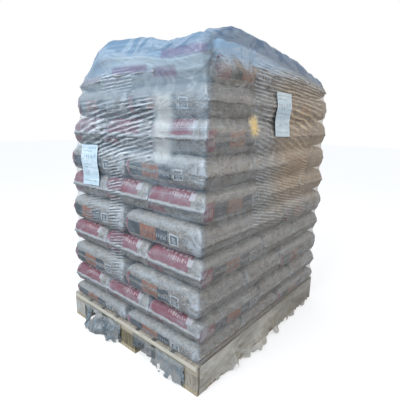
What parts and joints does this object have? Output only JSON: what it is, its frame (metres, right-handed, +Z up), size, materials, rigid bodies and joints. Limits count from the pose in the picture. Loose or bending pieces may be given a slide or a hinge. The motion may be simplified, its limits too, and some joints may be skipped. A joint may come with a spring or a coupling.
{
  "type": "pallet of sacks",
  "caption": "Wooden block pallet carrying layers of filled plastic sacks in an interlocked pattern, held together by stretch film that also covers the top.",
  "frame": {"origin": "centre of the pallet's footprint, on the floor", "axes": "+Z up, +X along the pallet's 1200 mm side, +Y along its 1000 mm side; the picture looks at the corner at -X -Y"},
  "size_m": [1.3067, 1.0273, 1.5417],
  "materials": {
    "pallet_wood": "rough sawn, weathered",
    "block_wood": "rough sawn end grain",
    "sack_film": "satin, creased",
    "stretch_film": "glossy, wrinkled",
    "label_paper": "matt, in a clear pouch"
  },
  "bodies": {
    "root": {"bottom_board_1": "pallet_wood", "bottom_board_2": "pallet_wood", "bottom_board_3": "pallet_wood", "block_1": "block_wood", "block_2": "block_wood", "block_3": "block_wood", "block_4": "block_wood", "block_5": "block_wood", "block_6": "block_wood", "block_7": "block_wood", "block_8": "block_wood", "block_9": "block_wood", "stringer_board_1": "pallet_wood", "stringer_board_2": "pallet_wood", "stringer_board_3": "pallet_wood", "deck_board_1": "pallet_wood", "deck_board_2": "pallet_wood", "deck_board_3": "pallet_wood", "deck_board_4": "pallet_wood", "deck_board_5": "pallet_wood", "deck_board_6": "pallet_wood", "deck_board_7": "pallet_wood", "sack_layer_01": "sack_film", "sack_layer_02": "sack_film", "sack_layer_03": "sack_film", "sack_layer_04": "sack_film", "sack_layer_05": "sack_film", "sack_layer_06": "sack_film", "sack_layer_07": "sack_film", "sack_layer_08": "sack_film", "sack_layer_09": "sack_film", "sack_layer_10": "sack_film", "stretch_wrap": "stretch_film", "label_end": "label_paper", "label_side": "label_paper", "film_tail_1": "stretch_film", "film_tail_2": "stretch_film", "film_tail_3": "stretch_film", "film_tail_4": "stretch_film", "film_skirt": "stretch_film"}
  },
  "joints": []
}
